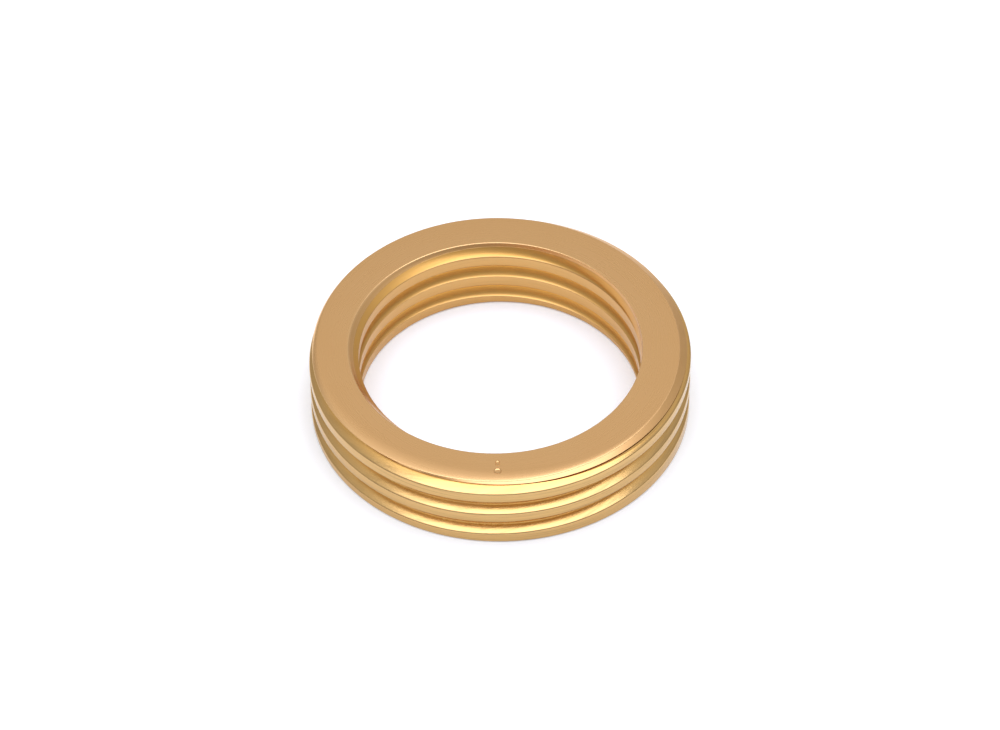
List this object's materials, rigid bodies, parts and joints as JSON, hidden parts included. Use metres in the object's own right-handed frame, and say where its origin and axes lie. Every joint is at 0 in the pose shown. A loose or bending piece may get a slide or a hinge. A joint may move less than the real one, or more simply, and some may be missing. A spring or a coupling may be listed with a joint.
{
  "type": "row counter",
  "caption": "Finger-ring row counter: ridged brass bands that click round on a ribbed sleeve below a flat index plate.",
  "frame": {"origin": "centre of the ring on the plane that it rests on", "axes": "+Z along the ring's axis towards the index plate; -Y towards the index mark"},
  "size_m": [0.0246, 0.0246, 0.005],
  "materials": {
    "band_brass": "turned and lightly polished, fine lines round the ring",
    "plate_brass": "satin, flat lapped",
    "sleeve_brass": "turned, lightly polished",
    "spacer_brass": "as rolled",
    "pin_steel": "ground",
    "spring_steel": "drawn wire"
  },
  "bodies": {
    "core": {"sleeve": "sleeve_brass", "index_plate": "plate_brass", "plate_dowels": "pin_steel", "retaining_collar": "sleeve_brass", "thrust_washer": "spacer_brass", "middle_spacer": "spacer_brass", "lower_spacer": "spacer_brass"},
    "upper_band": {"upper_band": "band_brass", "upper_detent_ball": "pin_steel", "upper_detent_spring": "spring_steel"},
    "middle_band": {"middle_band": "band_brass", "middle_detent_ball": "pin_steel", "middle_detent_spring": "spring_steel"},
    "lower_band": {"lower_band": "band_brass", "lower_detent_ball": "pin_steel", "lower_detent_spring": "spring_steel"}
  },
  "joints": [
    {"name": "upper_band_turn", "type": "hinge", "parent": "core", "child": "upper_band", "pos_m": [0, 0, 0.00394], "axis": [0, 0, 1], "continuous": true},
    {"name": "middle_band_turn", "type": "hinge", "parent": "core", "child": "middle_band", "pos_m": [0, 0, 0.00224], "axis": [0, 0, 1], "continuous": true},
    {"name": "lower_band_turn", "type": "hinge", "parent": "core", "child": "lower_band", "pos_m": [0, 0, 0.00068], "axis": [0, 0, 1], "continuous": true}
  ]
}
